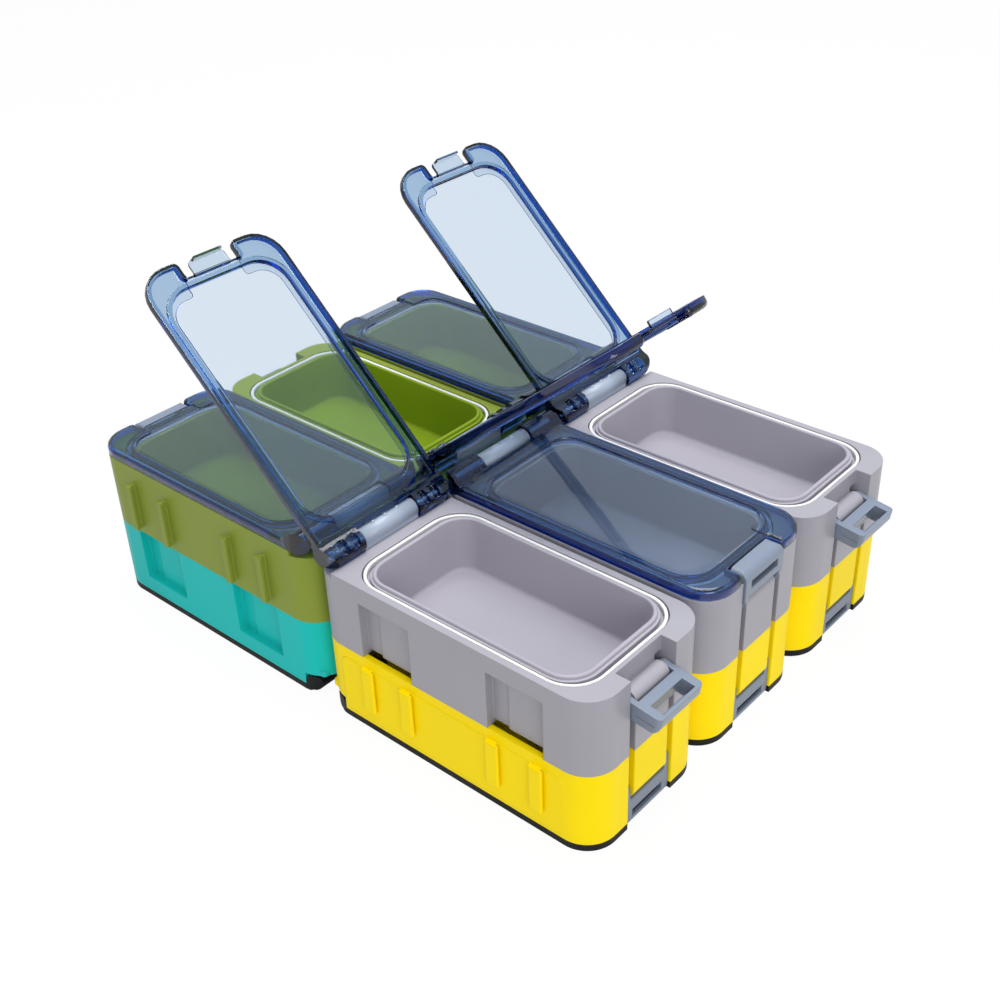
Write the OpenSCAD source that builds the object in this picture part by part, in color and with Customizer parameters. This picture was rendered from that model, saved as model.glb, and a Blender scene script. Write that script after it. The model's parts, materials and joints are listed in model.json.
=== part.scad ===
// Tackle cabinet: six two-sided boxes in two rows of three, joined side by side by rails and pockets.
// Each box has an upper and a lower half, and each half has a case, a tub, a seal, a lid and a latch.
// Units are millimetres. +X points to the latch ends of the grey row, +Y along the rows, +Z up.
// The origin is the centre of the block's footprint on the surface that it stands on.

/* [Boxes] */
// Length of one box from its hinge end to its latch end
box_l = 126; // [110:1:150]
// Width of one box
box_w = 62; // [56:0.5:74]
// Gap between two boxes of one row
side_gap = 2; // [1.7:0.1:2.6]
// Gap between the hinge ends of the two rows
row_gap = 0.3; // [0.2:0.1:4]
// Radius of the upright corners
corner_r = 12; // [9:0.5:14]
// Thickness of the case walls
wall = 2.4; // [1.8:0.1:2.8]

/* [Heights] */
// Height of the base lid from the ground to its rim
base_h = 2.8; // [2.6:0.1:4]
// Height of the lower case
lower_h = 30.4; // [30:0.2:36]
// Height of the upper case
upper_h = 31; // [30:0.2:40]
// Height of a top lid's rim above the case
lid_h = 4.4; // [4.2:0.1:5]

/* [Tubs and seals] */
// Depth of a tub from its rim to its floor
tub_depth = 22.1; // [16:0.1:23]
// Thickness of a tub's side walls and floor
tub_wall = 1.6; // [1.2:0.1:2]
// Thickness of a tub's end walls at the rim
tub_end_wall = 2.8; // [1.6:0.1:3.2]
// Corner radius of a tub's mouth
tub_r = 9.4; // [7:0.2:12]
// Inward draft of a tub's walls over its depth
tub_draft = 1.2; // [0.6:0.1:2]
// Width of the white seal ring
seal_w = 2.2; // [1.6:0.1:2.4]
// Thickness of the case wall beside the mouth
mouth_wall = 2.6; // [2.2:0.1:3]

/* [Hinges] */
// Distance of the hinge axis from the hinge end
hinge_x = 7.5; // [7:0.1:8.5]
// Height of the top hinge axis above the case
hinge_rise = 3.4; // [3.2:0.1:4]
// Radius of a top lid's knuckles
knuckle_r = 4.6; // [4:0.1:4.8]
// Radius of the fixed barrel between the knuckles
barrel_r = 3.5; // [3:0.1:3.6]
// Length of the fixed barrel
barrel_l = 27; // [20:0.5:30]
// Radius of the hinge pins
pin_r = 1.2; // [0.8:0.1:1.4]
// How far the two open grey lids are turned back
grey_open = 136.5; // [90:0.5:138]
// How far the open green lid is turned back
green_open = 140.5; // [90:0.5:141]

/* [Latches] */
// Width of a latch
latch_w = 23.8; // [20:0.2:26]
// Thickness of a latch's arms
arm_t = 2.2; // [1.8:0.1:2.4]
// Height of the upper latch pivot below the case's top
upper_drop = 10.9; // [10.6:0.1:12]
// Distance of the lower latch pivot above the case's lower edge
lower_drop = 12.2; // [12:0.1:13.4]
// Radius of the rounded tongue round a latch pivot
tongue_r = 3.6; // [3.2:0.1:3.6]
// Radius of the latch pins
latch_pin_r = 1; // [0.7:0.1:1.2]
// Width of the finger slot in a latch
slot_w = 17; // [12:0.5:18]
// How far an open latch is swung out
latch_open = 98; // [80:0.5:98]

/* [Rails and pockets] */
// Distance of the first pair of rails from the hinge end
rail_x1 = 35.4; // [30:0.2:40]
// Distance between the two pairs of rails
rail_pitch = 58.4; // [50:0.2:64]
// How far the rails stand out from the side
rail_out = 3.2; // [2.4:0.1:3.2]
// Depth of the pockets that take the next box's rails
pocket_d = 3.6; // [3.4:0.1:4]

/* [Hidden] */
$fn = 64;
eps = 0.5;
seat = 0.3;
pin_fit = 0.05;
rows = ["grey", "green"];
nums = [1, 2, 3];
pitch = box_w + side_gap;
hw = box_w / 2;
part_z = base_h + lower_h;
top_z = part_z + upper_h;

// Mouth, flange and seal, worked inward from the case side
open_hw = hw - mouth_wall;
flange_hw = open_hw - seat;
seal_hw = flange_hw - 0.2;
tub_hw = seal_hw - seal_w - 0.1;
cav_hw = tub_hw - tub_wall;
pivot_x = box_l - tongue_r;
notch_back = pivot_x - 2.6;
open_x0 = 16;
open_x1 = notch_back - 1.4;
cav_x0 = open_x0 + (open_hw - cav_hw) + 1.2;
cav_x1 = open_x1 - (open_hw - cav_hw) - 1.2;
ledge_d = 4;
ledge_t = 2;
flange_t = 1.5;
seal_top = 0.8;
open_r = tub_r + tub_wall + 2.2;

// Latches
latch_hw = latch_w / 2;
notch_hw = latch_hw + 0.4;
tongue_hw = latch_hw - arm_t - 0.6;
slot_back = pivot_x - 4.8;
arm_r = 2.6;
latch_out = tongue_r + 0.9;
lower_out = tongue_r - 0.9;
pocket_side = 3.3;
latch_back = 2.3;
front_t = 1.6;
hook_t = 1.2;
upper_slot = upper_drop - 3.5;
slot_h = 3.4;
lower_slot = lower_drop - 2.9;
upper_reach = upper_drop + lid_h - 0.6;
lower_reach = lower_drop + base_h - 0.2;

// Lids
hinge_z = top_z + hinge_rise;
lid_gap = 0.2;
lid_top = top_z + lid_h;
plate_t = 1.6;
lid_wall = 1.8;
panel_drop = 0.6;
panel_x0 = open_x0 + 3.6;
panel_x1 = open_x1 - 5.8;
panel_hw = open_hw - 4;
panel_r = open_r - 6.2;
recess_x = hinge_x + barrel_r;
recess_d = knuckle_r - hinge_rise + 1;
knuckle_y = barrel_l / 2 + 0.4;
tab_hw = 6.8;

// Base lid
base_hinge_z = 4;
base_knuckle_r = 3.3;
base_barrel_r = 3.2;
base_recess_d = base_hinge_z + base_knuckle_r + 0.7 - base_h;

// Rails and pockets
rails = [rail_x1, rail_x1 + rail_pitch];
pocket_hw = 12;
lower_pocket_hw = 12.8;
pocket_back = pocket_d + 1.6;

box_names = [for (r = rows, n = nums) str("_", r, "_", n)];
kinds = ["upper_case", "upper_tub", "lid", "upper_latch",
         "lower_case", "lower_tub", "base_lid", "lower_latch"];

// ---------- places ----------

// Puts a box of a row at its place: row 0 is grey, row 1 is green, n runs from 1 to 3
module place(r, n) {
  y = (n - 2) * pitch;
  if (r == 0) translate([row_gap / 2, y, 0]) children();
  else translate([-row_gap / 2, y, 0]) rotate([0, 0, 180]) children();
}

module all_places() {
  for (r = [0, 1], n = nums) place(r, n) children();
}

// ---------- outlines ----------

// Rounded rectangle from x0 to x1, half width w, corner radius r
module plate2(x0, x1, w, r) {
  translate([x0 + r, -w]) square([x1 - x0 - 2 * r, 2 * w]);
  translate([x0, r - w]) square([x1 - x0, 2 * w - 2 * r]);
  for (x = [x0 + r, x1 - r], y = [r - w, w - r]) translate([x, y]) circle(r);
}

module slab(x0, x1, w, r, z0, z1) {
  translate([0, 0, z0]) linear_extrude(z1 - z0) plate2(x0, x1, w, r);
}

module outline(z0, z1) { slab(0, box_l, hw, corner_r, z0, z1); }

// Box between two corners
module block(a, b) { translate(a) cube(b - a); }

// The same box on both sides of the middle plane
module pair(x0, x1, y0, y1, z0, z1) {
  block([x0, y0, z0], [x1, y1, z1]);
  block([x0, -y1, z0], [x1, -y0, z1]);
}

module y_rod(r, y0, y1) {
  translate([0, y1, 0]) rotate([90, 0, 0]) cylinder(h = y1 - y0, r = r);
}

// ---------- cases, drawn with the parting face at z 0 and the mouth at z h ----------

// side is the side that carries the rails, the other side has the pockets
module case_half(h, drop, hinge_d, hinge_roof, side, pocket_h, p_hw, channel) {
  pz = h - drop;
  inner = hw - wall;
  difference() {
    union() {
      difference() {
        outline(0, h);
        // hollow below the ledge, open at the parting face
        slab(wall, box_l - wall, inner, corner_r - wall, -eps, h - ledge_d - ledge_t);
      }
      // solid block behind the latch
      block([open_x1 - 2.4, -notch_hw - 2.4, 0], [box_l - 1, notch_hw + 2.4, h - ledge_d - ledge_t + eps]);
      // roof of the hinge recess
      if (hinge_roof > 0)
        slab(wall - 0.2, recess_x + 4, inner + 0.2, 1.6, h - hinge_d - hinge_roof, h - ledge_d - ledge_t + eps);
      // backing of the pockets
      for (x = rails)
        block([x - p_hw - 1.6, min(-side * (inner + 0.5), -side * (hw - pocket_back)), 0],
              [x + p_hw + 1.6, max(-side * (inner + 0.5), -side * (hw - pocket_back)), min(pocket_h + 1.8, h - ledge_d)]);
    }
    // mouth and ledge for the tub
    slab(open_x0, open_x1, open_hw, open_r, h - ledge_d, h + eps);
    slab(cav_x0 - tub_end_wall - seat, cav_x1 + tub_end_wall + seat, tub_hw + seat, tub_r + tub_wall + seat,
         h - ledge_d - ledge_t - eps, h - ledge_d + eps);
    // recess for the hinge
    block([-eps, -hw - eps, h - hinge_d], [recess_x, hw + eps, h + eps]);
    // pockets: the whole width, then the deeper channel on one side of each
    for (x = rails) {
      pocket(x - p_hw, x + p_hw, -side, pocket_d - 0.8, pocket_h);
      if (channel < 0) pocket(x - p_hw, x - p_hw + 7.4, -side, pocket_d, pocket_h);
      else pocket(x + p_hw - 7.4, x + p_hw, -side, pocket_d, pocket_h);
      // gap below the back of the upper pockets
      if (channel < 0) pocket(x - p_hw, x + p_hw, -side, pocket_back + 0.8, 1.8);
    }
    // latch notch over the tongue, and the two slots for the latch arms
    difference() {
      block([notch_back, -notch_hw, pz], [box_l + eps, notch_hw, h + eps]);
      translate([pivot_x, 0, pz]) y_rod(tongue_r, -tongue_hw, tongue_hw);
    }
    pair(notch_back, box_l + eps, tongue_hw, notch_hw, -eps, h + eps);
    pair(slot_back, box_l + eps, tongue_hw, notch_hw, -eps, h - ledge_d - ledge_t - 0.2);
    // bore for the latch pin
    translate([pivot_x, 0, pz]) y_rod(latch_pin_r + pin_fit, -notch_hw - 1.6, notch_hw + 1.6);
  }
}

module pocket(x0, x1, s, d, top) {
  y0 = s < 0 ? -hw - eps : hw - d;
  y1 = s < 0 ? d - hw : hw + eps;
  block([x0, y0, -eps], [x1, y1, top]);
}

// T-shaped rail: a narrow stem with a wider head
module t_rail(x, s, z0, z1) {
  stem = 1.6;
  head = 2.8;
  if (s > 0) {
    block([x - stem / 2, hw - 0.2, z0], [x + stem / 2, hw + rail_out - 1.3, z1]);
    block([x - head / 2, hw + rail_out - 1.4, z0], [x + head / 2, hw + rail_out, z1]);
  } else {
    block([x - stem / 2, -hw - rail_out + 1.3, z0], [x + stem / 2, 0.2 - hw, z1]);
    block([x - head / 2, -hw - rail_out, z0], [x + head / 2, -hw - rail_out + 1.4, z1]);
  }
}

// L-shaped rail: a broad foot and a hook that stands over its latch side
module l_rail(x, z0, z1) {
  y = -hw - rail_out + 1;
  translate([x, y, z0]) linear_extrude(z1 - z0)
    polygon([[-3, 0.9], [-2.2, 0.1], [-1.8, 0], [2.4, 0], [3, 0.3], [3, 1.1], [1.7, 1.3],
             [1.7, rail_out - 0.8], [-3, rail_out - 0.8]]);
}

module upper_case() {
  translate([0, 0, part_z]) {
    case_half(upper_h, upper_drop, recess_d, 0, 1, upper_h - 7.2, pocket_hw, -1);
    for (x = rails, s = [2.1 - pocket_hw, pocket_hw - 2.1]) t_rail(x + s, 1, 3, upper_h - 7.6);
  }
}

module lower_case() {
  translate([0, 0, part_z]) mirror([0, 0, 1])
    case_half(lower_h, lower_drop, base_recess_d, wall, -1, lower_h - 7, lower_pocket_hw, 1);
  for (x = rails, s = [3.4 - lower_pocket_hw, lower_pocket_hw - 3.4]) l_rail(x + s, base_h + 7.7, part_z - 4.2);
  // raised side panel with a rounded hinge-side end
  difference() {
    translate([0, -hw + 0.1, 0]) rotate([90, 0, 0]) linear_extrude(0.5)
      side_panel2(corner_r, box_l - corner_r, base_h + 2, part_z - 4.2);
  }
}

module side_panel2(x0, x1, z0, z1) {
  r = 3;
  translate([x0 + r, z0]) square([x1 - x0 - 2 * r, z1 - z0]);
  translate([x0, z0 + r]) square([x1 - x0, z1 - z0 - 2 * r]);
  for (x = [x0 + r, x1 - r], z = [z0 + r, z1 - r]) translate([x, z]) circle(r);
}

// ---------- tubs, drawn like the cases with the mouth up ----------

// Drafted form with rounded corners, from rings of [height, radius] round fixed corner centres
module drafted(x0, x1, w, r, rings) {
  hull() for (x = [x0 + r, x1 - r], y = [r - w, w - r], i = [0 : len(rings) - 2])
    translate([x, y, rings[i][0]])
      cylinder(h = rings[i + 1][0] - rings[i][0], r1 = rings[i][1], r2 = rings[i + 1][1], $fn = 28);
}

module tub(h) {
  top = h + seal_top;
  floor_z = top - tub_depth;
  r1 = tub_r - tub_draft;
  o = tub_wall;
  difference() {
    union() {
      slab(open_x0 + seat, open_x1 - seat, flange_hw, open_r - seat, h - ledge_d, h - ledge_d + flange_t);
      drafted(cav_x0 - tub_end_wall, cav_x1 + tub_end_wall, tub_hw, tub_r + o,
              [[floor_z - o, r1 + o - 3], [floor_z - o + 2.4, r1 + o], [top, tub_r + o]]);
    }
    drafted(cav_x0, cav_x1, cav_hw, tub_r,
            [[floor_z, r1 - 2.6], [floor_z + 0.8, r1 - 0.9], [floor_z + 3, r1], [top, tub_r], [top + 0.5, tub_r]]);
  }
}

module seal(h) {
  x0 = open_x0 + seat + 0.2;
  x1 = open_x1 - seat - 0.2;
  xi0 = cav_x0 - tub_end_wall - 0.1;
  xi1 = cav_x1 + tub_end_wall + 0.1;
  r = tub_r + tub_wall;
  z0 = h - ledge_d + flange_t;
  z1 = h + seal_top;
  difference() {
    union() {
      slab(x0, x1, seal_hw, r + seal_w, z0, z1 - 0.5);
      slab(x0 + 0.4, x1 - 0.4, seal_hw - 0.4, r + seal_w - 0.4, z0, z1);
    }
    slab(xi0, xi1, tub_hw + 0.1, r + 0.1, z0 - eps, z1 + eps);
    slab(xi0 - 0.3, xi1 + 0.3, tub_hw + 0.4, r + 0.4, z1 - 0.5, z1 + eps);
  }
}

module upper_tub() { translate([0, 0, part_z]) tub(upper_h); }
module lower_tub() { translate([0, 0, part_z]) mirror([0, 0, 1]) tub(lower_h); }
module upper_seal() { translate([0, 0, part_z]) seal(upper_h); }
module lower_seal() { translate([0, 0, part_z]) mirror([0, 0, 1]) seal(lower_h); }

// ---------- top lid, drawn closed ----------

module lid() {
  z0 = top_z + lid_gap;
  under = lid_top - plate_t;
  difference() {
    union() {
      difference() {
        outline(z0, lid_top);
        // space between the rim and the ring that presses on the seal
        slab(lid_wall, box_l - lid_wall, hw - lid_wall, corner_r - lid_wall, z0 - eps, under);
        block([-eps, -hw - eps, z0 - eps], [recess_x + 0.2, hw + eps, lid_top + eps]);
      }
      // ring wall over the seal
      slab(open_x0 + 0.5, open_x1 - 0.4, open_hw - 0.2, open_r, z0 + 0.9, under + 0.2);
      // walls along both sides of the latch notch
      pair(open_x1 - 1, box_l - 1, notch_hw, notch_hw + lid_wall, z0 + 0.9, under + 0.2);
      pair(open_x1 + 0.1, box_l - 1, notch_hw, notch_hw + lid_wall, z0, under + 0.2);
      // wall across the hinge end
      block([recess_x + 0.2, -hw + 3, z0], [recess_x + 2, hw - 3, under + 0.2]);
      // hinge knuckles, cut to the outline of the box
      intersection() {
        union() {
          lid_knuckle(1);
          lid_knuckle(-1);
        }
        outline(z0 - 8, lid_top + 8);
      }
    }
    // inside of the ring
    slab(open_x0 + 2.5, open_x1 - 2.4, open_hw - 2.2, open_r - 2, z0 - eps, under);
    // sunk panel, which runs on to the latch notch
    translate([0, 0, lid_top - panel_drop]) linear_extrude(panel_drop + eps) {
      plate2(panel_x0, panel_x1, panel_hw, panel_r);
      translate([panel_x1 - 1, -notch_hw]) square([notch_back - panel_x1 + 2, 2 * notch_hw]);
      for (s = [-1, 1]) scale([1, s]) translate([panel_x1, notch_hw]) corner_cut(1.6, 1, 1);
    }
    // latch notch with rounded outer corners
    block([notch_back + 0.1, -notch_hw, z0 - eps], [box_l + eps, notch_hw, lid_top + eps]);
    translate([0, 0, z0 - eps]) linear_extrude(lid_h + 2 * eps) for (s = [-1, 1])
      scale([1, s]) translate([box_l, notch_hw]) corner_cut(2, -1, 1);
    // room for the fixed barrel
    translate([hinge_x, 0, hinge_z]) y_rod(barrel_r + 0.5, -knuckle_y, knuckle_y);
    // pin bores
    translate([hinge_x, 0, hinge_z]) {
      y_rod(pin_r + pin_fit, knuckle_y - eps, hw - 3.2);
      y_rod(pin_r + pin_fit, 3.2 - hw, eps - knuckle_y);
    }
    // cored pockets on the underside of the knuckles
    for (y = [knuckle_y + 2, knuckle_y + 7.4])
      pair(hinge_x - 2.6, recess_x - 0.4, y, y + 3.6, hinge_z - knuckle_r - eps, hinge_z - pin_r - 0.9);
  }
  lid_tab();
}

// What is left of a square corner outside its rounding, with the corner at the origin
module corner_cut(r, sx, sy) {
  difference() {
    translate([sx < 0 ? -r : -0.2, sy < 0 ? -r : -0.2]) square(r + 0.2);
    translate([sx * r, sy * r]) circle(r);
  }
}

module lid_knuckle(s) {
  y0 = s > 0 ? knuckle_y : -hw;
  y1 = s > 0 ? hw : -knuckle_y;
  translate([hinge_x, 0, hinge_z]) y_rod(knuckle_r, y0, y1);
  translate([0, y1, 0]) rotate([90, 0, 0]) linear_extrude(y1 - y0)
    polygon([[hinge_x, hinge_z - knuckle_r + 0.4], [recess_x + 0.4, top_z + lid_gap],
             [recess_x + 0.4, lid_top], [recess_x, lid_top + 0.9], [hinge_x + 2, hinge_z + knuckle_r - 0.5],
             [hinge_x, hinge_z + knuckle_r - 0.2]]);
}

// Tab below the panel that the latch hooks over, with a thin framed lip turned down behind the latch
module lid_tab() {
  t1 = lid_top - 2.3;
  t0 = t1 - 1.2;
  x1 = pivot_x + latch_out - front_t - 0.3;
  z0 = top_z - 1.8;
  difference() {
    union() {
      block([notch_back - 1.1, -tab_hw, t0], [notch_back + 0.1, tab_hw, lid_top - plate_t + 0.2]);
      translate([0, 0, t0]) linear_extrude(t1 - t0) {
        translate([notch_back - 0.5, -tab_hw]) square([x1 - 1.6 - notch_back + 0.5, 2 * tab_hw]);
        translate([notch_back + 1, 1.6 - tab_hw]) square([x1 - notch_back - 1, 2 * tab_hw - 3.2]);
        for (y = [1.6 - tab_hw, tab_hw - 1.6]) translate([x1 - 1.6, y]) circle(1.6);
      }
      block([x1 - 1.3, 1.6 - tab_hw, z0], [x1, tab_hw - 1.6, t1]);
    }
    block([x1 - 0.35, 2.8 - tab_hw, z0 + 1.2], [x1 + eps, tab_hw - 2.8, t0]);
  }
}

// Turns a top part about the hinge, or a latch about its pivot
module about(x, z, a) { translate([x, 0, z]) rotate([0, a, 0]) translate([-x, 0, -z]) children(); }

// ---------- base lid ----------

module base_lid() {
  difference() {
    union() {
      difference() {
        outline(0, base_h - 0.1);
        slab(lid_wall, box_l - lid_wall, hw - lid_wall, corner_r - lid_wall, 1.4, base_h + eps);
        block([-eps, -hw - eps, -eps], [recess_x + 0.2, hw + eps, base_h + eps]);
      }
      // ring that presses on the seal
      slab(open_x0 + 0.5, open_x1 - 0.4, open_hw - 0.2, open_r, 1, base_h - seal_top - 0.1);
      // walls along the latch notch and the hinge end
      block([notch_back - 1.4, -notch_hw - lid_wall, 0.5], [box_l - 1, notch_hw + lid_wall, base_h - 0.1]);
      block([recess_x + 0.2, -hw + 3, 0.5], [recess_x + 2, hw - 3, base_h - 0.1]);
      intersection() {
        union() {
          base_knuckle(1);
          base_knuckle(-1);
        }
        outline(-eps, base_h + 8);
      }
    }
    slab(open_x0 + 2.5, open_x1 - 2.4, open_hw - 2.2, open_r - 2, 1.4, base_h + eps);
    // latch notch
    block([notch_back + 0.1, -notch_hw, -eps], [box_l + eps, notch_hw, base_h + eps]);
    translate([hinge_x, 0, base_hinge_z]) {
      y_rod(base_barrel_r + 0.5, -knuckle_y, knuckle_y);
      y_rod(pin_r + pin_fit, knuckle_y - eps, hw - 3.2);
      y_rod(pin_r + pin_fit, 3.2 - hw, eps - knuckle_y);
    }
  }
  // tab that the lower latch hooks under
  block([notch_back - 1.1, -tab_hw, hook_t + 0.6], [pivot_x + lower_out - front_t - 0.3, tab_hw, base_h - 0.1]);
}

module base_knuckle(s) {
  y0 = s > 0 ? knuckle_y : -hw;
  y1 = s > 0 ? hw : -knuckle_y;
  translate([hinge_x, 0, base_hinge_z]) y_rod(base_knuckle_r, y0, y1);
  translate([0, y1, 0]) rotate([90, 0, 0]) linear_extrude(y1 - y0)
    polygon([[hinge_x, base_hinge_z - base_knuckle_r + 0.2], [hinge_x + 1.6, 0], [recess_x + 0.4, 0],
             [recess_x + 0.4, base_h - 0.1], [recess_x - 0.2, base_h - 0.1], [hinge_x + 2.4, base_hinge_z + 2.2], [hinge_x, base_hinge_z + 3]]);
}

// ---------- hinge barrels and pins ----------

module barrel(r, z, foot_z) {
  difference() {
    union() {
      translate([hinge_x, 0, z]) y_rod(r, -barrel_l / 2, barrel_l / 2);
      block([hinge_x - r + 0.3, -barrel_l / 2, min(z, foot_z)], [hinge_x + r - 0.3, barrel_l / 2, max(z, foot_z)]);
    }
    translate([hinge_x, 0, z]) y_rod(pin_r + pin_fit, -barrel_l, barrel_l);
  }
}

module upper_barrel() { barrel(barrel_r, hinge_z, top_z - recess_d); }
module lower_barrel() { barrel(base_barrel_r, base_hinge_z, base_h + base_recess_d); }

module hinge_pin(z) { translate([hinge_x, 0, z]) y_rod(pin_r, 3.5 - hw, hw - 3.5); }
module latch_pin(z) { translate([pivot_x, 0, z]) y_rod(latch_pin_r, -notch_hw - 1.4, notch_hw + 1.4); }

// ---------- latch, drawn closed round its pivot, with its hook at z reach ----------

// Side view of a latch's outside, with a large radius where the front turns into the hook
module latch_side(reach, out, r, low) {
  translate([-latch_back, low]) square([out + latch_back, reach - low - r]);
  translate([-latch_back, low]) square([out - r + latch_back, reach - low]);
  intersection() {
    translate([out - r, reach - r]) circle(r);
    translate([0, low]) square([out, reach]);
  }
}

// Frame of full depth with a hook across its end, a crossbar beside the tongue, and a finger slot between
module latch(reach, out, r, slot_z0) {
  front = out - front_t;
  low = tongue_r + 0.9;
  slot_z1 = slot_z0 + slot_h;
  pocket_hw = latch_hw - pocket_side;
  difference() {
    intersection() {
      union() {
        // frame
        translate([0, latch_hw, 0]) rotate([90, 0, 0]) linear_extrude(latch_w) latch_side(reach, out, r, low);
        // arms
        for (y = [-latch_hw, latch_hw - arm_t]) translate([0, y + arm_t, 0]) rotate([90, 0, 0])
          linear_extrude(arm_t) {
            circle(arm_r);
            polygon([[-arm_r, 0], [-latch_back, low - 0.8], [-latch_back, low + 0.1], [out, low + 0.1],
                     [out, low - 1.2], [arm_r, 0]]);
          }
      }
      // rounded corners of the hook, seen from the front
      translate([-latch_back - 1, 0, 0]) rotate([90, 0, 90]) linear_extrude(out + latch_back + 2) {
        translate([-latch_hw, -arm_r - 1]) square([latch_w, reach + arm_r - 0.8]);
        translate([1.8 - latch_hw, 0]) square([latch_w - 3.6, reach]);
        for (y = [1.8 - latch_hw, latch_hw - 1.8]) translate([y, reach - 1.8]) circle(1.8);
      }
    }
    // pocket from the back, between the crossbar and the hook, with a rounded inner corner
    translate([0, pocket_hw, 0]) rotate([90, 0, 0]) linear_extrude(2 * pocket_hw) {
      polygon([[-latch_back - eps, slot_z0 + 1.1], [front, slot_z0], [front, reach - hook_t - 0.8],
               [-latch_back - eps, reach - hook_t - 0.8]]);
      translate([-latch_back - eps, reach - hook_t - 1.6]) square([front - 0.8 + latch_back + eps, 1.6]);
      translate([front - 0.8, reach - hook_t - 0.8]) circle(0.8);
    }
    // the crossbar's front edge, cut back so that it clears the case when the latch is open
    translate([0, latch_hw - arm_t, 0]) rotate([90, 0, 0]) linear_extrude(latch_w - 2 * arm_t)
      polygon([[out - 1.2, low - eps], [out + eps, low - eps], [out + eps, low + 0.5]]);
    // finger slot through the front plate
    block([front - eps, -slot_w / 2, slot_z0], [out + eps, slot_w / 2, slot_z1]);
    // groove along both sides
    for (y = [-latch_hw - eps, latch_hw - 0.25])
      block([out - 3.1, y, low + 0.6], [out - 2.6, y + 0.25 + eps, reach - 1.9]);
    // pin bore
    y_rod(latch_pin_r + pin_fit, -latch_w, latch_w);
  }
}

module upper_latch(a) {
  translate([pivot_x, 0, top_z - upper_drop]) rotate([0, a, 0])
    latch(upper_reach, latch_out, 3.6, upper_slot);
}
module lower_latch() {
  translate([pivot_x, 0, base_h + lower_drop]) mirror([0, 0, 1])
    latch(lower_reach, lower_out, 1.2, lower_slot);
}

// ---------- colours ----------

upper_colour = ["#a5a3aa", "#8c965a"];
lower_colour = ["#ffe114", "#46c3b9"];

// ---------- nodes ----------

for (r = [0, 1], n = nums) {
  b = str("_", rows[r], "_", n);
  open = (r == 0 && n != 2) ? grey_open : (r == 1 && n == 2) ? green_open : 0;
  latch_a = open > 0 ? latch_open : 0;
  color(upper_colour[r]) place(r, n) upper_case();
  color(upper_colour[r]) place(r, n) upper_tub();
  color([0.2, 0.35, 0.6, 0.5]) place(r, n) about(hinge_x, hinge_z, -open) lid();
  color("#a5b4be") place(r, n) upper_latch(latch_a);
  color(lower_colour[r]) place(r, n) lower_case();
  color(lower_colour[r]) place(r, n) lower_tub();
  color("#141417") place(r, n) base_lid();
  color("#a5b4be") place(r, n) lower_latch();
}
color("#f2f2ee") all_places() upper_seal();  // upper_seals
color("#f2f2ee") all_places() lower_seal();  // lower_seals
color("#a5b4be") all_places() upper_barrel();  // upper_hinge_barrels
color("#a5b4be") all_places() lower_barrel();  // lower_hinge_barrels
color("#c8c8cc") all_places() hinge_pin(hinge_z);  // lid_hinge_pins
color("#c8c8cc") all_places() hinge_pin(base_hinge_z);  // base_hinge_pins
color("#c8c8cc") all_places() latch_pin(top_z - upper_drop);  // upper_latch_pins
color("#c8c8cc") all_places() latch_pin(base_h + lower_drop);  // lower_latch_pins
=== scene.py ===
import json
import math
import bmesh
import bpy
from mathutils import Matrix, Vector


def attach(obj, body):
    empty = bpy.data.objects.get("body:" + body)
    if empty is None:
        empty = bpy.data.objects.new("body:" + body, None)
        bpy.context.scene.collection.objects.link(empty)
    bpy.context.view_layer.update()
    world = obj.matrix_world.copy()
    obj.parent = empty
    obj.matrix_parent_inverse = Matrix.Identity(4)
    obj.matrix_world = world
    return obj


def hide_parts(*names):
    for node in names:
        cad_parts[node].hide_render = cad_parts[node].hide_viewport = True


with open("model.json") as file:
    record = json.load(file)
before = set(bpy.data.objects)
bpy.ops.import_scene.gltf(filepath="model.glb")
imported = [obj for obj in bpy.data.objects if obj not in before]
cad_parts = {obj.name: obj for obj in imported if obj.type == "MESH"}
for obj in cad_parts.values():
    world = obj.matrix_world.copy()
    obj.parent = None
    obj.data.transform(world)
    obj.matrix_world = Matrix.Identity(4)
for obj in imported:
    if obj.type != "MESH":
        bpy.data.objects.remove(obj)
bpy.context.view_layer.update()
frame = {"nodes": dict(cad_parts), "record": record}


# ---------- Camera ----------
# The photograph looks down on the nearest latch corner of the grey row, slightly tilted.
turn, lift, tilt = (math.radians(a) for a in (42.013, 32.832, -2.202))
camera_at = (0.31343, -0.34128, 0.34042)
sensor_width, focal_length = 36, 49.17


def new_object(name, data):
    made = bpy.data.objects.new(name, data)
    bpy.context.collection.objects.link(made)
    return made


back = Vector((math.sin(turn) * math.cos(lift), -math.cos(turn) * math.cos(lift), math.sin(lift)))
side = (-back).cross(Vector((0, 0, 1))).normalized()
over = side.cross(-back)
lens = bpy.data.cameras.new("camera")
lens.sensor_width, lens.lens, lens.clip_start = sensor_width, focal_length, 0.01
camera = new_object("camera", lens)
camera.matrix_world = Matrix((math.cos(tilt) * side + math.sin(tilt) * over,
                              math.cos(tilt) * over - math.sin(tilt) * side, back)).transposed().to_4x4()
camera.matrix_world.translation = camera_at
bpy.context.scene.camera = camera
bpy.context.scene.view_settings.view_transform = "Standard"


# ---------- Cases ----------
# Each box has two injection-moulded shells that meet at the parting line: lilac grey over yellow in one
# row, olive over teal in the other. They have a satin finish and edges rounded by about half a millimetre.
rows, numbers = ("grey", "green"), (1, 2, 3)
boxes = [(row, number) for row in rows for number in numbers]
plastic_ior = 1.5
flow_scale, flow_floor, flow_gain, flow_shade = 26.0, 0.35, 1.6, 0.93
rough_swing = 0.12
grain_scale, grain_height = 2600.0, 0.00004
# How strongly rounded edges turn paler: partly wear, partly a painted highlight along the edges.
edge_gain, edge_wear_and_highlight = 3.0, 0.55


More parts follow.
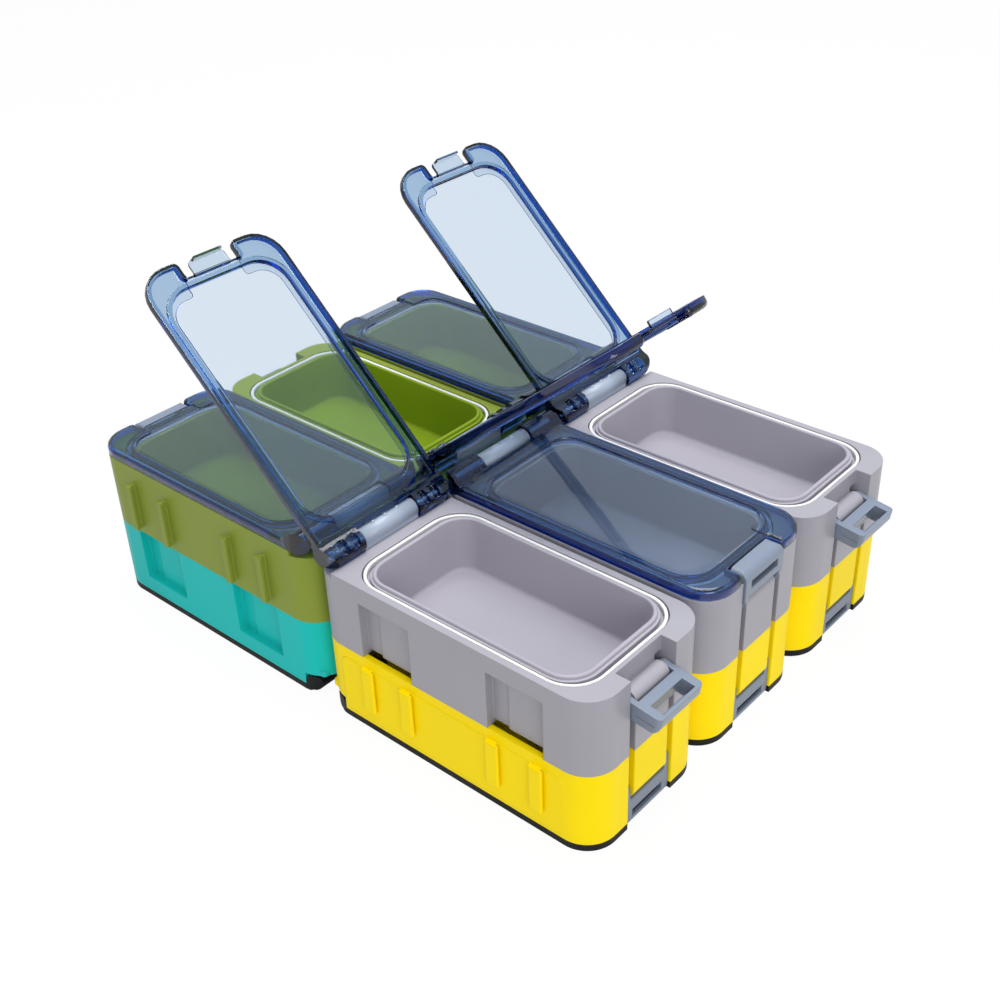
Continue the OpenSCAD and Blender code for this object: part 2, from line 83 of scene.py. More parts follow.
class Value:
    """The output of a shader node. Arithmetic on it adds Math nodes."""

    def __init__(self, shader, socket):
        self.shader, self.socket = shader, socket

    def maths(self, operation, a, b, clamp=False):
        return self.shader.node("ShaderNodeMath", {"operation": operation, "use_clamp": clamp}, {0: a, 1: b})

    def __add__(self, other):
        return self.maths("ADD", self, other)

    def __radd__(self, other):
        return self.maths("ADD", other, self)

    def __sub__(self, other):
        return self.maths("SUBTRACT", self, other)

    def __rsub__(self, other):
        return self.maths("SUBTRACT", other, self)

    def __mul__(self, other):
        return self.maths("MULTIPLY", self, other)

    def __rmul__(self, other):
        return self.maths("MULTIPLY", other, self)

    def clamped(self):
        return self.maths("ADD", self, 0.0, True)


class Shader:
    """The node tree of a material or a world, under construction."""

    def __init__(self, owner):
        owner.use_nodes = True
        self.owner, self.tree = owner, owner.node_tree
        self.tree.nodes.clear()

    def node(self, kind, settings=None, inputs=None, out=0):
        n = self.tree.nodes.new(kind)
        for key, value in (settings or {}).items():
            setattr(n, key, value)
        for key, value in (inputs or {}).items():
            if isinstance(value, Value):
                self.tree.links.new(value.socket, n.inputs[key])
            else:
                n.inputs[key].default_value = value
        return Value(self, n.outputs[out])

    def place(self):
        """Object coordinates, in which every piece's pattern lies."""
        return self.node("ShaderNodeTexCoord", out="Object")

    def noise(self, **sizes):
        return self.node("ShaderNodeTexNoise", None, {"Vector": self.place(), **sizes})

    def blend(self, factor, a, b):
        return self.node("ShaderNodeMix", {"data_type": "RGBA"}, {0: factor, 6: a, 7: b}, out=2)

    def finish(self, surface, volume=None, output="ShaderNodeOutputMaterial"):
        end = self.tree.nodes.new(output)
        self.tree.links.new(surface.socket, end.inputs["Surface"])
        if volume:
            self.tree.links.new(volume.socket, end.inputs["Volume"])
        return self.owner


def material(name):
    return Shader(bpy.data.materials.new(name))


def paint(red, green, blue):
    """A colour as it reads on screen, 0 to 255, turned into Blender's linear values."""
    shares = (c / 255 for c in (red, green, blue))
    return tuple(c / 12.92 if c <= 0.04045 else ((c + 0.055) / 1.055) ** 2.4 for c in shares) + (1.0,)


def moulded(name, colour, worn_and_highlight, rough=0.42, radius=0.0006, grain=0.25, sheen=0.5):
    """Satin injection-moulded plastic: faint flow marks, fine grain, rounded edges painted slightly paler,
    partly as wear and partly as a painted highlight.
    """
    s = material(name)
    rounded = s.node("ShaderNodeBevel", {"samples": 6}, {"Radius": radius})
    flat = s.node("ShaderNodeNewGeometry", out="Normal")
    bend = s.node("ShaderNodeVectorMath", {"operation": "DOT_PRODUCT"}, {0: rounded, 1: flat}, out="Value")
    edge = ((1 - bend) * edge_gain).clamped()
    flow = s.noise(Scale=flow_scale, Detail=3.0, Roughness=0.55)
    spark = s.noise(Scale=grain_scale, Detail=2.0, Roughness=0.6)
    darker = tuple(c * flow_shade for c in colour[:3]) + (1.0,)
    base = s.blend(((flow - flow_floor) * flow_gain).clamped(), darker, colour)
    # Edges blend toward the second colour: partly wear, partly a painted highlight on the rounded edges.
    base = s.blend(edge * edge_wear_and_highlight, base, worn_and_highlight)
    bump = s.node("ShaderNodeBump", None, {"Strength": grain, "Distance": grain_height, "Height": spark,
                                           "Normal": rounded})
    return s.finish(s.node("ShaderNodeBsdfPrincipled", None, {
        "Base Color": base, "Roughness": (rough - rough_swing / 2) + flow * rough_swing, "IOR": plastic_ior,
        "Specular IOR Level": sheen, "Normal": bump}))


def finish_node(name, finish):
    """Gives a CAD node its material and leaves its shape alone."""
    node = frame["nodes"][name]
    node.data.materials.clear()
    node.data.materials.append(finish)
    for face in node.data.polygons:
        face.material_index = 0


# Each material's second colour is its paler edge colour, partly wear and partly a painted highlight.
grey_plastic = moulded("grey_plastic", paint(156, 154, 162), paint(192, 190, 199), sheen=0.35)
yellow_plastic = moulded("yellow_plastic", paint(255, 225, 0), paint(255, 240, 60), sheen=0.08)
olive_plastic = moulded("olive_plastic", paint(134, 149, 56), paint(160, 176, 92), sheen=0.12)
teal_plastic = moulded("teal_plastic", paint(20, 192, 187), paint(96, 220, 212), rough=0.4, sheen=0.1)
case_finish = {"upper": {"grey": grey_plastic, "green": olive_plastic},
               "lower": {"grey": yellow_plastic, "green": teal_plastic}}
for row, number in boxes:
    for half in case_finish:
        finish_node(f"{half}_case_{row}_{number}", case_finish[half][row])


# ---------- Tubs ----------
# A drafted tub with a rounded floor drops into each mouth and rests on its flange. It is moulded in the
# colour of its case, with a fine matt grain, and its rim is a rounded bead.
# Shapes drawn point by point are in millimetres of one box: x from its hinge end, y from its middle.
millimetre = 0.001
row_pitch, half_row_gap, middle_number = 0.064, 0.00015, 2
tub_rim, tub_depth = 65.0, 22.1
mouth_x0, mouth_x1, mouth_half, mouth_radius = 21.6, 112.8, 24.3, 9.4
end_spread, side_spread = 1.1, 0.92  # how far the ends and the sides move for one millimetre of offset
floor_inset, floor_fillet, rim_bead = -1.2, 1.8, 0.75
tub_crease = 35
turned_over = 67.0  # an upper height and the lower height that matches it add up to this


def arc(x, z, radius, start, stop, step):
    """Points on a circle, at whole degrees."""
    return [(x + radius * math.cos(math.radians(a)), z + radius * math.sin(math.radians(a)))
            for a in range(start, stop, step)]


def ring(x0, x1, half_width, radius, z, turns=7):
    """A corner-rounded rectangle as a list of points, anticlockwise from above."""
    points, far = [], half_width - radius
    for cx, cy, start in ((x1 - radius, far, 0), (x0 + radius, far, 90),
                          (x0 + radius, -far, 180), (x1 - radius, -far, 270)):
        for i in range(turns + 1):
            a = math.radians(start + 90 * i / turns)
            points.append((cx + radius * math.cos(a), cy + radius * math.sin(a), z))
    return points


def loft(rings):
    """Closed skin through rings of equal length, capped at its first and last ring."""
    count = len(rings[0])
    points = [p for r in rings for p in r]
    faces = [tuple(reversed(range(count)))] + [tuple(range(len(points) - count, len(points)))]
    for k in range(len(rings) - 1):
        for i in range(count):
            j = (i + 1) % count
            faces.append((k * count + i, k * count + j, (k + 1) * count + j, (k + 1) * count + i))
    return points, faces


def skinned(name, points, faces):
    """A new object from points and faces, with every face turned outwards."""
    mesh = bpy.data.meshes.new(name)
    mesh.from_pydata(points, [], faces)
    work = bmesh.new()
    work.from_mesh(mesh)
    bmesh.ops.recalc_face_normals(work, faces=work.faces)
    work.to_mesh(mesh)
    work.free()
    return new_object(name, mesh)


def shade_smooth(mesh, crease):
    """Shades a mesh smooth, apart from edges that bend by more than the crease angle."""
    mesh.polygons.foreach_set("use_smooth", [True] * len(mesh.polygons))
    mesh.set_sharp_from_angle(angle=math.radians(crease))


def box_place(row, number):
    """Where a box stands: the green row is turned round to face the other way."""
    out = half_row_gap if row == "grey" else -half_row_gap
    move = Matrix.Translation((out, (number - middle_number) * row_pitch, 0))
    return move if row == "grey" else move @ Matrix.Rotation(math.pi, 4, "Z")


def tub_form(up):
    """One tub. Its skin holds offsets from the mouth, and heights or drops from the rim."""
    inner_floor = tub_rim - tub_depth
    skin = arc(floor_inset - floor_fillet, inner_floor + floor_fillet, floor_fillet, -90, 1, 15)
    skin += [(-0.5, tub_rim - 10)]
    skin += arc(rim_bead, tub_rim - rim_bead, rim_bead, 180, -1, -20)
    shelf = [(1.52, 1.35), (2.35, 1.4), (2.4, 3.3)]
    flange = [(4.0, 3.3), (4.0, 4.8), (1.6, 4.8)]
    outer_floor = [(0.5, 21.3), (-0.3, 23.2), (-2.6, 23.7)]
    skin += [(d, tub_rim - drop) for d, drop in shelf + flange + outer_floor]
    rings = [ring(mouth_x0 - d * end_spread, mouth_x1 + d * end_spread, mouth_half + d * side_spread,
                  mouth_radius + d, z) for d, z in skin]
    if not up:
        rings = [[(x, y, turned_over - z) for x, y, z in r] for r in rings]
    return loft(rings)


def tub_plastic(name, colour, worn_and_highlight):
    return moulded(name, colour, worn_and_highlight, rough=0.5, radius=0.0004, grain=0.55, sheen=0.25)


tub_finish = {"upper": {"grey": tub_plastic("grey_tub", paint(165, 161, 171), paint(212, 210, 217)),
                        "green": tub_plastic("green_tub", paint(120, 146, 16), paint(176, 200, 80))},
              "lower": case_finish["lower"]}
for row, number in boxes:
    for half in tub_finish:
        points, faces = tub_form(half == "upper")
        points = [box_place(row, number) @ (Vector(p) * millimetre) for p in points]
        tub = skinned(f"{half}_tub_{row}_{number}_skin", points, faces)
        tub.data.materials.append(tub_finish[half][row])
        shade_smooth(tub.data, tub_crease)
        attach(tub, "block")
        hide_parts(f"{half}_tub_{row}_{number}")


# ---------- Seals ----------
# A soft white ring lies in the groove between tub and case. One profile with a rounded bead is swept round
# a path with rounded corners, and the finished ring is set down at all the boxes of one side.
seal_x = 0.0672
seal_height = {"upper": 0.0629, "lower": 0.0041}
seal_sizes = {"Length": 0.1006, "Width": 0.0551, "Corner": 0.0128, "Bead width": 0.0013,
              "Bead height": 0.0022, "Bead corner": 0.0005}


def node_tree(name, sizes):
    """A Geometry Nodes tree with one geometry input and named sizes."""
    tree = bpy.data.node_groups.new(name, "GeometryNodeTree")
    tree.interface.new_socket("Geometry", in_out="INPUT", socket_type="NodeSocketGeometry")
    for label, value in sizes.items():
        socket = tree.interface.new_socket(label, in_out="INPUT", socket_type="NodeSocketFloat")
        socket.default_value = value
    tree.interface.new_socket("Geometry", in_out="OUTPUT", socket_type="NodeSocketGeometry")
    return tree, tree.nodes.new("NodeGroupInput").outputs, tree.nodes.new("NodeGroupOutput")


def add(tree, kind, settings=None, inputs=None):
    """Adds a node with its settings, and returns its first output."""
    n = tree.nodes.new(kind)
    for key, value in (settings or {}).items():
        setattr(n, key, value)
    for key, value in (inputs or {}).items():
        if isinstance(value, bpy.types.NodeSocket):
            tree.links.new(value, n.inputs[key])
        else:
            n.inputs[key].default_value = value
    return n.outputs[0]


def set_down(tree, points, shape, finish, result):
    """Ends a tree: one copy of the shape at each point, made real, with its material."""
    turned = add(tree, "GeometryNodeInputNamedAttribute", {"data_type": "FLOAT_VECTOR"}, {"Name": "turned"})
    spread = add(tree, "GeometryNodeInstanceOnPoints", None,
                 {"Points": points, "Instance": shape, "Rotation": turned})
    real = add(tree, "GeometryNodeRealizeInstances", None, {"Geometry": spread})
    coated = add(tree, "GeometryNodeSetMaterial", None, {"Geometry": real, "Material": finish})
    tree.links.new(coated, result.inputs[0])


def evaluated_mesh(thing):
    return bpy.data.meshes.new_from_object(thing.evaluated_get(bpy.context.evaluated_depsgraph_get()))


def grown(name, holder, tree, sizes):
    """Runs a tree on an object, keeps the result as a plain mesh and removes the modifier."""
    grow = holder.modifiers.new("grow", "NODES")
    grow.node_group = tree
    for item in tree.interface.items_tree:
        if item.in_out == "INPUT" and item.name in sizes:
            grow[item.identifier] = sizes[item.name]
    result = evaluated_mesh(holder)
    result.name = name
    holder.modifiers.remove(grow)
    bpy.data.objects.remove(holder)
    return new_object(name, result)


def stations(x, z):
    """A holder with one point for each box, at x along the box and height z, and each box's turn."""
    mesh = bpy.data.meshes.new("stations")
    mesh.from_pydata([box_place(*b) @ Vector((x, 0, z)) for b in boxes], [], [])
    turn_of = mesh.attributes.new("turned", "FLOAT_VECTOR", "POINT")
    for i, (row, number) in enumerate(boxes):
        turn_of.data[i].vector = (0, 0, 0 if row == "grey" else math.pi)
    return new_object("stations", mesh)


def soft_white():
    s = material("white_seal")
    cloud = s.noise(Scale=60.0, Detail=2.0)
    base = s.blend(cloud, paint(218, 217, 216), paint(230, 229, 228))
    return s.finish(s.node("ShaderNodeBsdfPrincipled", None, {
        "Base Color": base, "Roughness": 0.38 + cloud * 0.1, "IOR": 1.42, "Specular IOR Level": 0.5}))


def seal_tree():
    tree, given, result = node_tree("seal ring", seal_sizes)
    path = add(tree, "GeometryNodeCurvePrimitiveQuadrilateral", None,
               {"Width": given["Length"], "Height": given["Width"]})
    path = add(tree, "GeometryNodeFilletCurve", {"mode": "POLY"},
               {"Curve": path, "Count": 10, "Radius": given["Corner"]})
    bead = add(tree, "GeometryNodeCurvePrimitiveQuadrilateral", None,
               {"Width": given["Bead width"], "Height": given["Bead height"]})
    bead = add(tree, "GeometryNodeFilletCurve", {"mode": "POLY"},
               {"Curve": bead, "Count": 4, "Radius": given["Bead corner"]})
    swept = add(tree, "GeometryNodeCurveToMesh", None, {"Curve": path, "Profile Curve": bead})
    smooth = add(tree, "GeometryNodeSetShadeSmooth", None, {"Geometry": swept})
    set_down(tree, given["Geometry"], smooth, soft_white(), result)
    return tree


rings_of_six = seal_tree()
for half in seal_height:
    seals = grown(f"{half}_seal_rings", stations(seal_x, seal_height[half]), rings_of_six, seal_sizes)
    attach(seals, "block")
    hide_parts(f"{half}_seals")


# ---------- Hinge barrels and pins ----------
# Between the two knuckles of every lid stands a fixed barrel on a foot, satin blue grey, with three small
# pips along its crest. The steel pins keep their CAD shape.
barrel_x = 0.0075
barrel_height = {"upper": 0.0676, "lower": 0.004}
upper_sizes = {"Radius": 0.0035, "Length": 0.027, "Foot": -0.0028, "Foot height": 0.0056,
               "Foot thickness": 0.0064, "Pip spacing": 0.006, "Pip": 0.00075}
barrel_sizes = {"upper": upper_sizes,
                "lower": {**upper_sizes, "Radius": 0.0032, "Foot": 0.0020, "Foot height": 0.0040}}


def steel():
    s = material("drawn_steel")
    stretched = s.node("ShaderNodeMapping", None, {"Vector": s.place(), "Scale": (1.0, 0.04, 1.0)})
    lines = s.node("ShaderNodeTexNoise", None, {"Vector": stretched, "Scale": 1800.0, "Detail": 2.0})
    base = s.blend(lines, paint(176, 176, 180), paint(206, 206, 210))
    return s.finish(s.node("ShaderNodeBsdfPrincipled", None, {
        "Base Color": base, "Metallic": 1.0, "Roughness": 0.24 + lines * 0.2}))


def barrel_tree():
    """A rod along Y, a foot below or above it, and three pips on its crest."""
    tree, given, result = node_tree("barrels", upper_sizes)
    rod = add(tree, "GeometryNodeMeshCylinder", None,
              {"Vertices": 48, "Radius": given["Radius"], "Depth": given["Length"]})
    rod = add(tree, "GeometryNodeTransform", None, {"Geometry": rod, "Rotation": (math.pi / 2, 0, 0)})
    rod = add(tree, "GeometryNodeSetShadeSmooth", None, {"Geometry": rod})
    foot_size = add(tree, "ShaderNodeCombineXYZ", None,
                    {"X": given["Foot thickness"], "Y": given["Length"], "Z": given["Foot height"]})
    foot = add(tree, "GeometryNodeMeshCube", None, {"Size": foot_size})
    foot_at = add(tree, "ShaderNodeCombineXYZ", None, {"Z": given["Foot"]})
    foot = add(tree, "GeometryNodeTransform", None, {"Geometry": foot, "Translation": foot_at})
    pip = add(tree, "GeometryNodeMeshUVSphere", None, {"Segments": 12, "Rings": 8, "Radius": given["Pip"]})
    pip = add(tree, "GeometryNodeSetShadeSmooth", None, {"Geometry": pip})
    crest = add(tree, "ShaderNodeCombineXYZ", None, {"Z": given["Radius"]})
    step = add(tree, "ShaderNodeCombineXYZ", None, {"Y": given["Pip spacing"]})
    first = add(tree, "ShaderNodeVectorMath", {"operation": "SUBTRACT"}, {0: crest, 1: step})
    line = add(tree, "GeometryNodeMeshLine", None, {"Count": 3, "Start Location": first, "Offset": step})
    pips = add(tree, "GeometryNodeInstanceOnPoints", None, {"Points": line, "Instance": pip})
    whole = tree.nodes.new("GeometryNodeJoinGeometry")
    for part in (rod, foot, pips):
        tree.links.new(part, whole.inputs[0])
    set_down(tree, given["Geometry"], whole.outputs[0], blue_grey, result)
    return tree


blue_grey = moulded("blue_grey_plastic", paint(154, 165, 182), paint(186, 196, 210), rough=0.34, grain=0.15)
pin_steel = steel()
for name in ("lid_hinge_pins", "base_hinge_pins", "upper_latch_pins", "lower_latch_pins"):
    finish_node(name, pin_steel)
barrels_of_six = barrel_tree()
for half, sizes in barrel_sizes.items():
    holder = stations(barrel_x, barrel_height[half])
    barrels = grown(f"{half}_hinge_barrel_set", holder, barrels_of_six, sizes)
    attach(barrels, "block")
    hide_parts(f"{half}_hinge_barrels")


# ---------- Lids ----------
# A lid is one moulding in clear blue plastic: rolled rim, ring wall over the seal, sunk panel that runs on
# to the latch notch, a lower tab for the latch, and two cored knuckles. A volume colours it, so that long
# paths through the rim turn navy, and its upright faces are also painted navy, as painted shade for those
# long paths. Plans hold x, y and corner radius.
hinge_x, hinge_z = 7.5, 67.6
rim_x0, rim_x1, rim_half, rim_corner, rim_round = 11.15, 126, 31, 12, 2.1
wall_x0, wall_x1, wall_half, wall_corner, wall_thickness = 16.5, 118, 28.2, 13.8, 2
panel_x0, panel_x1, panel_half, panel_corner = 19.6, 112.6, 24.4, 8
panel_end = 123  # past the notch, so that the panel runs out into it
lid_top = 68.6
notch_x, notch_half = 119.9, 12.3
knuckle_radius, knuckle_y, pin_bore, pin_half = 4.6, 13.9, 1.25, 27.8
pocket_x0, pocket_x1, pocket_half, pocket_corner = 4.9, 10.6, 1.8, 0.7
pocket_starts = (15.9, 21.3)
knuckle_trim = 0.1
tab_x1, tab_half, lip_half = 125.0, 8.2, 6.4
web_x0, web_x1, web_z0, web_z1 = 118.75, 119.88, 65.1, 67.5  # joins the tab to the panel
room_x0, room_x1, room_z0, room_z1 = 118.02, 121, 64, 66.8  # free space behind the notch
least_radius = 0.12
upright_limit = 0.62  # a face is upright where its normal's height is less than this
# The knuckles take a weaker painted navy shade; faces over the tab take none.
knuckle_limit, knuckle_painted_shade = 13, 0.55
tab_limit, tab_unshaded_half = 119.95, 9
lid_crease, lid_evenness = 32, 90


def both_sides(plan):
    """A plan's near half, followed by the same corners on the far side."""
    return plan + [(x, -y, radius) for x, y, radius in reversed(plan)]


def path_ring(corners, inset, z, turns=6):
    """A right-angled outline with rounded corners, anticlockwise, moved inward by an inset."""
    points, count = [], len(corners)
    for i, (x, y, radius) in enumerate(corners):
        before, after = corners[i - 1], corners[(i + 1) % count]
        d1 = Vector((x - before[0], y - before[1])).normalized()
        d2 = Vector((after[0] - x, after[1] - y)).normalized()
        n1, n2 = Vector((-d1.y, d1.x)), Vector((-d2.y, d2.x))
        sign = 1 if d1.cross(d2) > 0 else -1
        r = max(radius - sign * inset, least_radius)
        middle = Vector((x, y)) + (inset + sign * r) * (n1 + n2)
        for k in range(turns + 1):
            a = math.pi / 2 * k / turns
            p = middle - sign * r * (n1 * math.cos(a) + n2 * math.sin(a))
            points.append((p.x, p.y, z))
    return points


def solid(rings):
    """A temporary closed object from a loft."""
    return skinned("solid", *loft(rings))


def prism(plan, levels):
    """A temporary solid from a plan and its insets at rising heights."""
    return solid([path_ring(plan, inset, z) for inset, z in levels])


def bar(profile, y0, y1):
    """A side view in x and z, swept across the width."""
    return solid([[(x, y, z) for x, z in profile] for y in (y0, y1)])


def block(x0, x1, z0, z1, half):
    return bar([(x0, z0), (x1, z0), (x1, z1), (x0, z1)], -half, half)


def carve(base, tool, operation):
    """Joins, cuts or intersects two temporary objects and keeps the first."""
    work = base.modifiers.new("work", "BOOLEAN")
    work.operation, work.solver, work.object = operation, "EXACT", tool
    result = evaluated_mesh(base)
    base.modifiers.remove(work)
    base.data = result
    bpy.data.objects.remove(tool)


def wall_solid(depth, levels):
    """A solid with the ring wall's outline, moved inward by a depth and by an inset at each height."""
    return solid([ring(wall_x0 + depth + d, wall_x1 - depth - d, wall_half - depth - d,
                       wall_corner - depth - d, z) for d, z in levels])


def rim_and_panel():
    """The rim with its hollow underside, the ring wall and the sunk panel. Levels are insets and heights."""
    rim = both_sides([(rim_x0, -rim_half, 0.8), (rim_x1, -rim_half, rim_corner),
                      (rim_x1, -notch_half, 2.2), (notch_x, -notch_half, 0.5)])
    sunk = both_sides([(panel_x0, -panel_half, panel_corner), (panel_x1, -panel_half, panel_corner),
                       (panel_x1, -notch_half, 1.6), (panel_end, -notch_half, 0.3)])
    lower_edge = [(0.5, 64.4), (0.14, 64.52), (0, 64.85)]
    rolled_edge = arc(rim_round, lid_top - rim_round, rim_round, 180, 89, -10)
    hollow = [(1.65, 64.0), (1.8, 65.7), (2.0, 66.15), (2.5, 66.4)]
    wall = [(0.35, 65.3), (0.1, 65.4), (0, 65.7), (0, 67.5)]
    inside = [(-0.4, 64.9), (0, 65.6), (0.05, 66.7), (0.35, 67.1), (0.9, 67.25)]
    sink = [(0.4, 68.0), (0.12, 68.08), (0, 68.3), (-0.1, 68.5), (-0.35, 68.62), (-0.6, 69.4)]
    made = prism(rim, lower_edge + rolled_edge)
    carve(made, prism(rim, hollow), "DIFFERENCE")
    carve(made, wall_solid(0, wall), "UNION")
    carve(made, wall_solid(wall_thickness, inside), "DIFFERENCE")
    carve(made, prism(sunk, sink), "DIFFERENCE")
    carve(made, block(room_x0, room_x1, room_z0, room_z1, notch_half), "DIFFERENCE")
    return made


def knuckle(hand):
    """One knuckle: rounded about the pin, trimmed to the box's outline, with two cored pockets."""
    slope = [(11.7, 69.7), (12.5, 68.95), (13.4, 68.58), (14.2, 68.4), (14.2, 66.2), (12.6, 65.0),
             (11.6, 64.45), (10.2, 64.0)]
    made = bar(arc(hinge_x, hinge_z, knuckle_radius, -76, -325, -6) + slope,
               *sorted((hand * knuckle_y, hand * rim_half)))
    outline = [ring(knuckle_trim, rim_x1 - knuckle_trim, rim_half, rim_corner, z) for z in (50, 90)]
    carve(made, solid(outline), "INTERSECT")
    for start in pocket_starts:
        middle = hand * (start + pocket_half)
        levels = [ring(pocket_x0 + d, pocket_x1 - d, pocket_half - d, pocket_corner, z)
                  for d, z in ((-0.1, 62), (0.1, 65.2), (0.4, 65.5))]
        carve(made, solid([[(x, middle + y, z) for x, y, z in r] for r in levels]), "DIFFERENCE")
    return made


def add_tab(lid):
    """The tab below the panel, the web that joins it to the panel, and the lip that the latch hooks over."""
    tab = both_sides([(119.2, -tab_half, 0.2), (tab_x1, -tab_half, 2.2)])
    lip = both_sides([(tab_x1 - 1, -lip_half, 0.3), (tab_x1, -lip_half, 0.3)])
    carve(lid, prism(tab, [(0.25, 65.1), (0, 65.35), (0, 66.05), (0.25, 66.3)]), "UNION")
    carve(lid, block(web_x0, web_x1, web_z0, web_z1, tab_half), "UNION")
    carve(lid, prism(lip, [(0.3, 62.4), (0, 62.7), (0, 65.4)]), "UNION")


def lid_moulding():
    """The whole lid, closed, with painted navy shade marked on its upright faces: weaker on the knuckles,
    none on the tab.
    """
    lid = rim_and_panel()
    for hand in (-1, 1):
        carve(lid, knuckle(hand), "UNION")
    carve(lid, bar(arc(hinge_x, hinge_z, pin_bore, 0, 360, 15), -pin_half, pin_half), "DIFFERENCE")
    add_tab(lid)
    mesh = lid.data
    bpy.data.objects.remove(lid)
    work = bmesh.new()
    work.from_mesh(mesh)
    bmesh.ops.remove_doubles(work, verts=work.verts, dist=0.002)
    bmesh.ops.dissolve_degenerate(work, edges=work.edges, dist=0.001)
    bmesh.ops.recalc_face_normals(work, faces=work.faces)
    work.to_mesh(mesh)
    work.free()
    # Painted shade: upright faces are marked for a navy base colour that stands in for the darkening along
    # long paths through the plastic.
    painted_navy = mesh.attributes.new("upright", "FLOAT", "FACE")
    for face in mesh.polygons:
        on_tab = face.center.x > tab_limit and abs(face.center.y) < tab_unshaded_half
        plain = on_tab or abs(face.normal.z) >= upright_limit
        navy_shade = 1.0 if face.center.x > knuckle_limit else knuckle_painted_shade
        painted_navy.data[face.index].value = 0.0 if plain else navy_shade
    return mesh


def clear_blue():
    s = material("clear_blue_plastic")
    ripple = s.noise(Scale=45.0, Detail=1.0)
    haze = s.noise(Scale=900.0, Detail=3.0)
    bump = s.node("ShaderNodeBump", None, {"Strength": 0.12, "Distance": 0.0003, "Height": ripple})
    painted_navy = s.node("ShaderNodeAttribute", {"attribute_name": "upright"}, out="Fac")
    # The base colour turns navy where the mark is: painted shade on the upright faces.
    glass = s.node("ShaderNodeBsdfPrincipled", None, {
        "Base Color": s.blend(painted_navy, paint(250, 250, 252), paint(52, 98, 190)),
        "Roughness": 0.02 + haze * 0.03, "IOR": 1.49, "Normal": bump,
        "Transmission Weight": 1.0, "Specular IOR Level": 0.5})
    tint = s.node("ShaderNodeVolumeAbsorption", None, {"Color": (0.13, 0.435, 0.69, 1.0), "Density": 460.0})
    return s.finish(glass, tint)


def even_shading(made):
    """Keeps big faces flat where small ones meet them, and keeps the result as a plain mesh."""
    even = made.modifiers.new("even", "WEIGHTED_NORMAL")
    even.keep_sharp, even.weight = True, lid_evenness
    shaded = evaluated_mesh(made)
    made.modifiers.remove(even)
    made.data = shaded


clear_plastic = clear_blue()
lid_mesh = lid_moulding()
joints = frame["record"]["behaviour"]["joints"]
swing = {joint["child"]: joint["range_deg"][1] for joint in joints if joint["child"].startswith("lid")}
for row, number in boxes:
    node = f"lid_{row}_{number}"
    place = box_place(row, number) @ Matrix.Scale(millimetre, 4)
    if node in swing:
        axis = Matrix.Translation((hinge_x, 0, hinge_z))
        place = place @ axis @ Matrix.Rotation(math.radians(-swing[node]), 4, "Y") @ axis.inverted()
    mesh = lid_mesh.copy()
    mesh.transform(place)
    mesh.materials.clear()
    mesh.materials.append(clear_plastic)
    shade_smooth(mesh, lid_crease)
    made = new_object(f"{node}_moulding", mesh)
    even_shading(made)
    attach(made, node if node in swing else "block")
    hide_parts(node)


# ---------- Latches and base lids ----------
# The latches keep their CAD shape, in a satin blue grey darker than the barrels, with softly rounded edges.
# The black base lids are a finely grained moulding that shows as a dark line under the cases.
latch_grey = moulded("latch_plastic", paint(121, 131, 148), paint(160, 169, 185), rough=0.36, grain=0.15,
                     sheen=0.4)
base_black = moulded("black_plastic", paint(9, 9, 12), paint(34, 34, 40), rough=0.45, sheen=0.2)
for row, number in boxes:
    finish_node(f"upper_latch_{row}_{number}", latch_grey)
    finish_node(f"lower_latch_{row}_{number}", latch_grey)
    finish_node(f"base_lid_{row}_{number}", base_black)


# ---------- Floor and light ----------
# A white floor that keeps a faint shadow, and a surround that is white to look at, bluish in reflections
# and dimmer as a light. A broad lamp hangs above, and a weaker one stands near the grey row's latch ends.
floor_half, floor_z = 8, -0.0001
glow_share = 0.95
lamp_aim = (0, 0, 0.03)


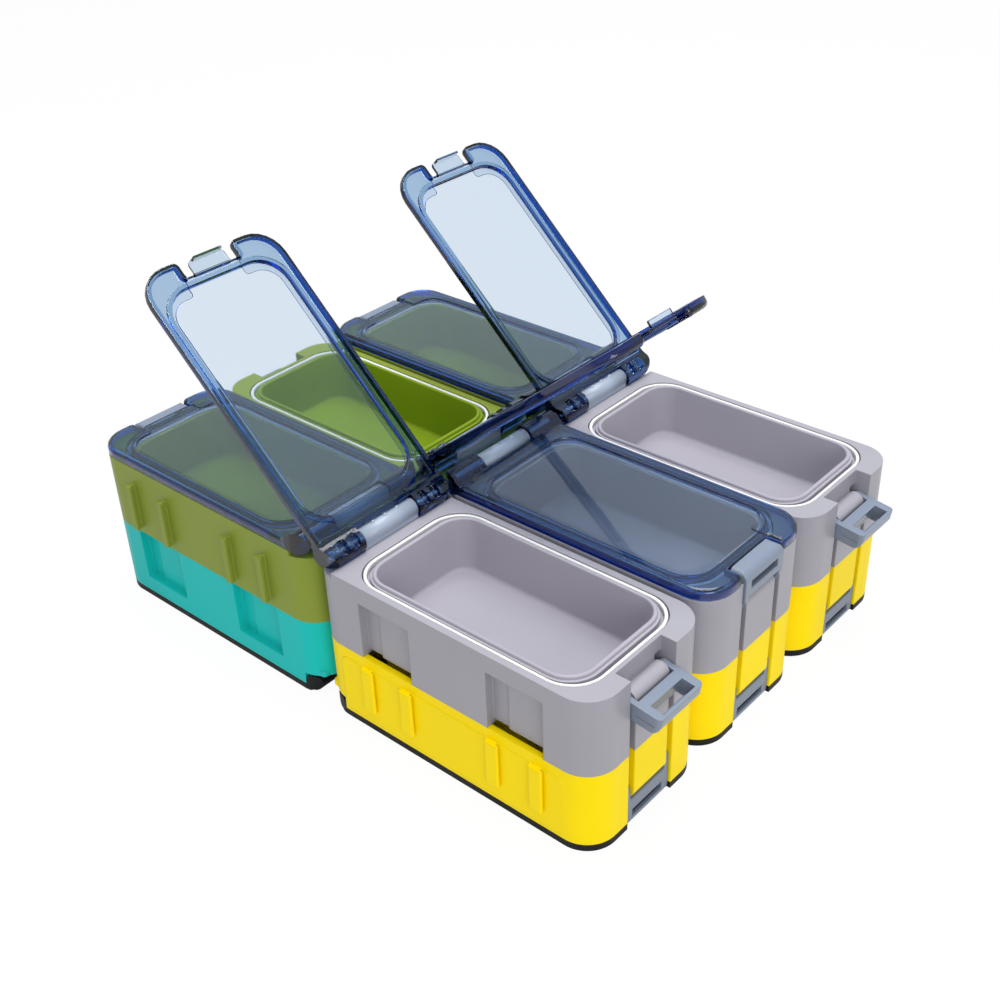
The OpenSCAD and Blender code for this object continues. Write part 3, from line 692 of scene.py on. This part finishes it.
def white_floor():
    s = material("white_floor")
    seen = s.node("ShaderNodeLightPath", out="Is Camera Ray")
    bounced = s.node("ShaderNodeLightPath", out="Is Diffuse Ray")
    through = s.node("ShaderNodeLightPath", out="Is Transmission Ray")
    paper = s.noise(Scale=300.0, Detail=2.0)
    matt = s.node("ShaderNodeBsdfDiffuse", None,
                  {"Color": s.blend(paper, paint(236, 236, 236), paint(240, 240, 240))})
    glow = s.node("ShaderNodeEmission", None, {"Color": (1, 1, 1, 1), "Strength": 1.0})
    looked_at = (seen + bounced + through).clamped()
    return s.finish(s.node("ShaderNodeMixShader", None, {0: looked_at * glow_share, 1: matt, 2: glow}))


def surround():
    s = Shader(bpy.data.worlds.new("studio"))
    seen = s.node("ShaderNodeLightPath", out="Is Camera Ray")
    through = s.node("ShaderNodeLightPath", out="Is Transmission Ray")
    mirrored = s.node("ShaderNodeLightPath", out="Is Glossy Ray")
    white = s.node("ShaderNodeBackground", None, {"Color": (1.0, 1.0, 1.0, 1.0), "Strength": 1.0})
    bluish = s.node("ShaderNodeBackground", None, {"Color": (0.74, 0.86, 1.0, 1.0), "Strength": 1.0})
    light = s.node("ShaderNodeBackground", None, {"Color": (0.95, 0.97, 1.0, 1.0), "Strength": 0.54})
    indirect = s.node("ShaderNodeMixShader", None, {0: mirrored, 1: light, 2: bluish})
    whole = s.node("ShaderNodeMixShader", None, {0: (seen + through).clamped(), 1: indirect, 2: white})
    return s.finish(whole, output="ShaderNodeOutputWorld")


def lamp(name, at, size, watts):
    """A rectangular lamp that shines at the middle of the block."""
    light = bpy.data.lights.new(name, "AREA")
    light.shape, light.size, light.size_y, light.energy = "RECTANGLE", size[0], size[1], watts
    aim = (Vector(lamp_aim) - Vector(at)).to_track_quat("-Z", "Y")
    new_object(name, light).matrix_world = Matrix.Translation(at) @ aim.to_matrix().to_4x4()


floor_corners = [(x * floor_half, y * floor_half, floor_z) for x, y in ((-1, -1), (1, -1), (1, 1), (-1, 1))]
floor_mesh = bpy.data.meshes.new("floor")
floor_mesh.from_pydata(floor_corners, [], [(0, 1, 2, 3)])
floor_mesh.materials.append(white_floor())
floor = new_object("floor", floor_mesh)

bpy.context.scene.world = surround()
lamp("key", (0.06, 0.06, 1.2), (1.0, 0.8), 16.2)
lamp("side", (0.95, -0.6, 0.5), (0.5, 0.5), 4.0)
